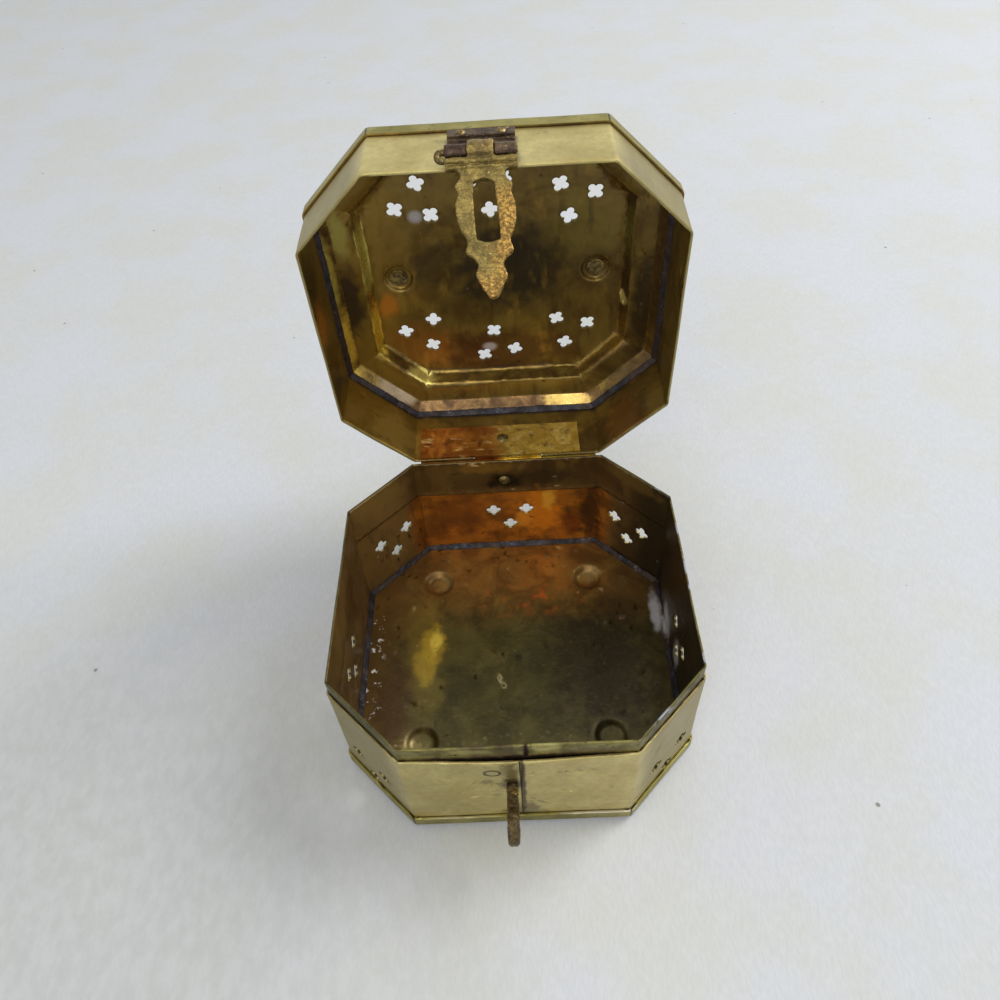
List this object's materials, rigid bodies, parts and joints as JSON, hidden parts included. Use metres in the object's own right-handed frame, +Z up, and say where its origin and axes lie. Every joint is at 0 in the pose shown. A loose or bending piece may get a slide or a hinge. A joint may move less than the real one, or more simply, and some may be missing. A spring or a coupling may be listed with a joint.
{
  "type": "cricket box",
  "caption": "Octagonal sheet brass box with pierced sides, a stepped hinged lid, a slotted hasp over a turn staple and a bail handle.",
  "frame": {"origin": "centre of the bottom plate's underside; the four feet stand 2 mm below it", "axes": "+Z up, -Y the front with the staple, +X right; the lid stands open towards +Y"},
  "size_m": [0.1144, 0.1735, 0.1678],
  "materials": {
    "sheet_brass": "worn polish outside, brown tarnish inside",
    "tarnished_brass": "mottled green-brown patina",
    "hinge_brass": "orange-brown patina",
    "cast_brass": "rough sand casting",
    "solder": "dull blue-grey solder"
  },
  "bodies": {
    "base": {"bottom_plate": "sheet_brass", "base_wall": "sheet_brass", "rim_collar": "tarnished_brass", "collar_rivet": "sheet_brass", "base_solder": "solder", "base_hinge_leaf": "hinge_brass", "base_leaf_rivet": "hinge_brass", "hinge_pin": "hinge_brass"},
    "lid": {"lid_wall": "sheet_brass", "lid_top_plate": "sheet_brass", "lid_solder": "solder", "lid_hinge_leaf": "hinge_brass", "lid_leaf_rivet": "hinge_brass", "hasp_leaf": "cast_brass", "hasp_leaf_rivets": "hinge_brass", "left_handle_post": "cast_brass", "right_handle_post": "cast_brass", "handle_post_washers": "hinge_brass"},
    "hasp_pin": {"hasp_pin": "hinge_brass"},
    "hasp": {"hasp": "cast_brass"},
    "staple": {"staple": "cast_brass", "staple_washer": "hinge_brass"},
    "handle": {"handle": "cast_brass"}
  },
  "joints": [
    {"name": "lid_hinge", "type": "hinge", "parent": "base", "child": "lid", "pos_m": [0.0005, 0.0583, 0.044], "axis": [1, 0, 0], "range_deg": [0, 88.5]},
    {"name": "hasp_pin_turn", "type": "hinge", "parent": "lid", "child": "hasp_pin", "pos_m": [-0.0017, 0.05428, 0.16319], "axis": [1, 0, 0], "range_deg": [-88.5, 0]},
    {"name": "hasp_swing", "type": "hinge", "parent": "hasp_pin", "child": "hasp", "pos_m": [-0.0017, 0.05428, 0.16319], "axis": [-1, 0, 0], "range_deg": [-50, 60]},
    {"name": "staple_turn", "type": "hinge", "parent": "base", "child": "staple", "pos_m": [-0.0022, -0.0553, 0.0263], "axis": [0, 1, 0], "range_deg": [-90, 90]},
    {"name": "handle_swing", "type": "hinge", "parent": "lid", "child": "handle", "pos_m": [0, 0.09816, 0.10336], "axis": [1, 0, 0], "range_deg": [0, 180]}
  ],
  "couplings": [
    {"joint": "hasp_pin_turn", "follows": "lid_hinge", "ratio": -1}
  ]
}
